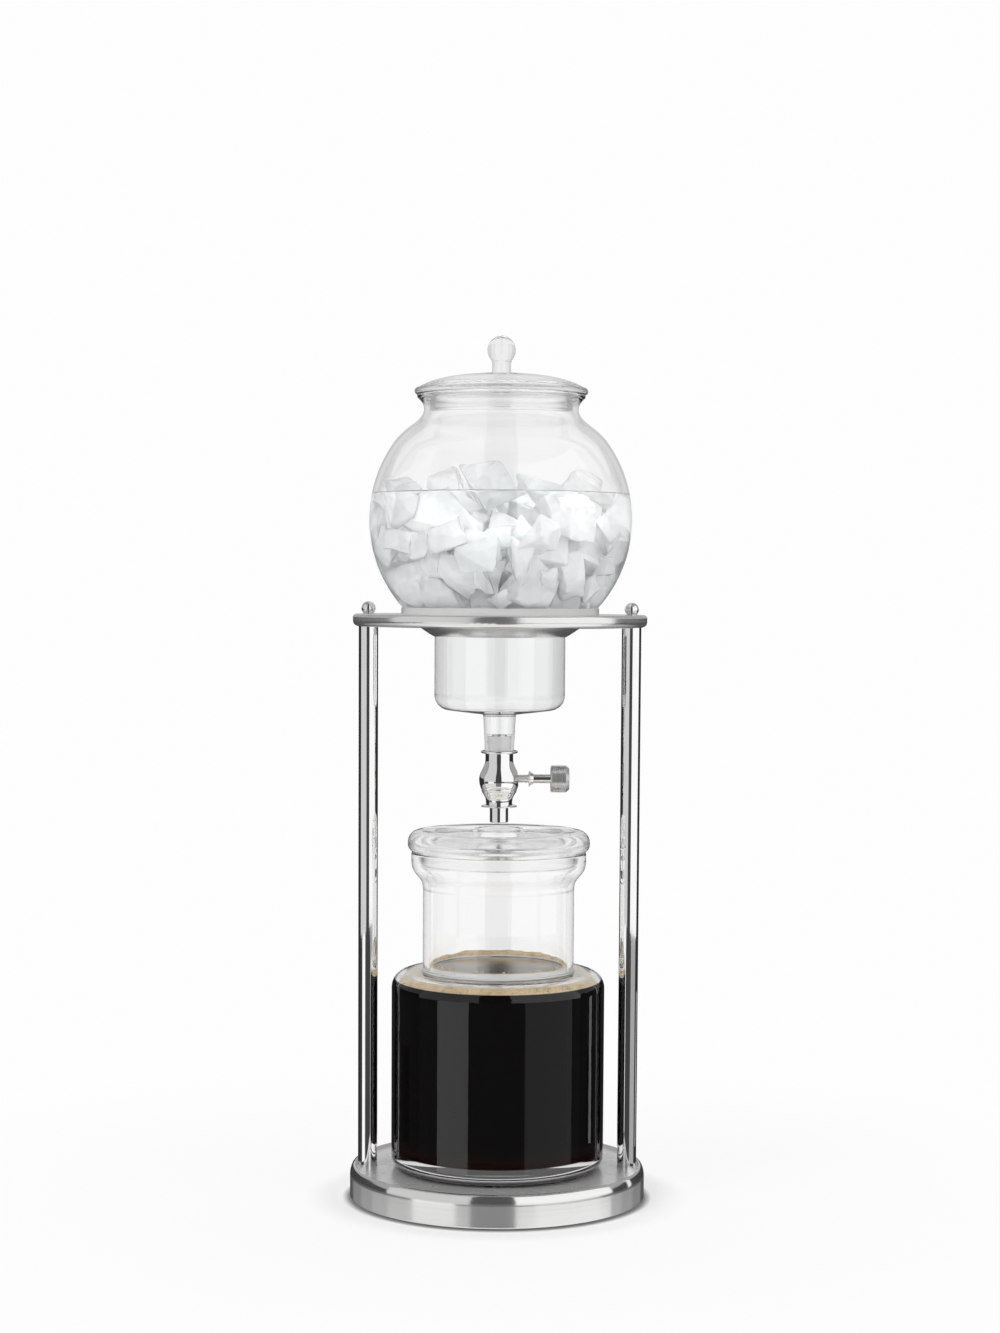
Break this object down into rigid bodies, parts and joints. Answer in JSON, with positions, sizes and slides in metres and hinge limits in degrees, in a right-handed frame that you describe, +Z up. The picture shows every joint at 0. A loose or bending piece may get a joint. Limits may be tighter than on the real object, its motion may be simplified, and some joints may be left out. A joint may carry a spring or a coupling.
{
  "type": "cold drip coffee tower",
  "caption": "Slow-drip cold coffee tower: lidded glass water globe over a needle tap, glass grounds chamber and straight glass carafe, in a round steel stand with posts.",
  "frame": {"origin": "centre of the base on the surface that the tower stands on", "axes": "+Z up along the tower's axis, +X towards the tap's knob, -Y towards the user"},
  "size_m": [0.168, 0.168, 0.487],
  "materials": {
    "steel_satin": "stainless steel, satin on the edges and bright on the floor",
    "steel_polished": "stainless steel, polished bright",
    "steel_brushed_knob": "stainless steel, turned and lightly brushed round its axis",
    "steel_plain": "stainless steel, plain mill finish",
    "steel_mesh": "fine woven stainless wire",
    "glass_clear": "clear borosilicate glass, fire polished",
    "silicone_clear": "translucent silicone, slightly matt",
    "rubber_black": "matt black rubber",
    "fluoropolymer_white": "machined white fluoropolymer",
    "ice_water": "chilled water",
    "ice": "cracked ice with cloudy cores",
    "coffee": "still black coffee",
    "coffee_foam": "fine tan foam with open bubbles"
  },
  "bodies": {
    "stand": {"base_tray": "steel_satin", "base_backing_plate": "steel_plain", "base_pad": "rubber_black", "post_left": "steel_polished", "post_right": "steel_polished", "post_screws": "steel_plain", "post_washers": "steel_plain", "finial_left": "steel_polished", "finial_right": "steel_polished", "top_plate": "steel_satin", "seat_cup": "steel_satin", "seat_gasket": "silicone_clear"},
    "globe": {"water_globe": "glass_clear", "outlet_stopper": "silicone_clear", "valve_body": "steel_polished", "valve_cap": "steel_polished", "drip_tube": "steel_polished", "stem_gland": "steel_polished"},
    "globe_lid": {"globe_lid": "glass_clear"},
    "needle": {"needle_tip": "fluoropolymer_white", "stem_o_ring": "rubber_black"},
    "knob": {"valve_stem": "steel_polished", "lock_ring": "steel_polished", "valve_knob": "steel_brushed_knob", "knob_set_screw": "steel_plain"},
    "carafe": {"carafe": "glass_clear", "mouth_gasket": "silicone_clear"},
    "chamber": {"brew_chamber": "glass_clear"},
    "filter": {"filter_plate": "steel_plain", "filter_mesh": "steel_mesh", "filter_seal": "silicone_clear"},
    "drip_lid": {"drip_lid": "glass_clear"}
  },
  "joints": [
    {"name": "globe_lift", "type": "slide", "parent": "stand", "child": "globe", "axis": [0, 0, 1], "range_m": [0, 0.065]},
    {"name": "globe_lid_lift", "type": "slide", "parent": "globe", "child": "globe_lid", "axis": [0, 0, 1], "range_m": [0, 0.06]},
    {"name": "needle_travel", "type": "slide", "parent": "globe", "child": "needle", "axis": [1, 0, 0], "range_m": [0, 0.0016]},
    {"name": "knob_turn", "type": "hinge", "parent": "needle", "child": "knob", "pos_m": [0.034, 0, 0.2393], "axis": [1, 0, 0], "range_deg": [0, 720]},
    {"name": "carafe_pull", "type": "slide", "parent": "stand", "child": "carafe", "axis": [0, -0.9966, 0.0819], "range_m": [0, 0.2]},
    {"name": "chamber_lift", "type": "slide", "parent": "carafe", "child": "chamber", "axis": [0, 0, 1], "range_m": [0, 0.01]},
    {"name": "filter_lift", "type": "slide", "parent": "chamber", "child": "filter", "axis": [0, 0, 1], "range_m": [0, 0.045]},
    {"name": "drip_lid_lift", "type": "slide", "parent": "chamber", "child": "drip_lid", "axis": [0, 0, 1], "range_m": [0, 0.01]}
  ],
  "couplings": [
    {"joint": "knob_turn", "follows": "needle_travel", "rad_per_m": 7854}
  ]
}
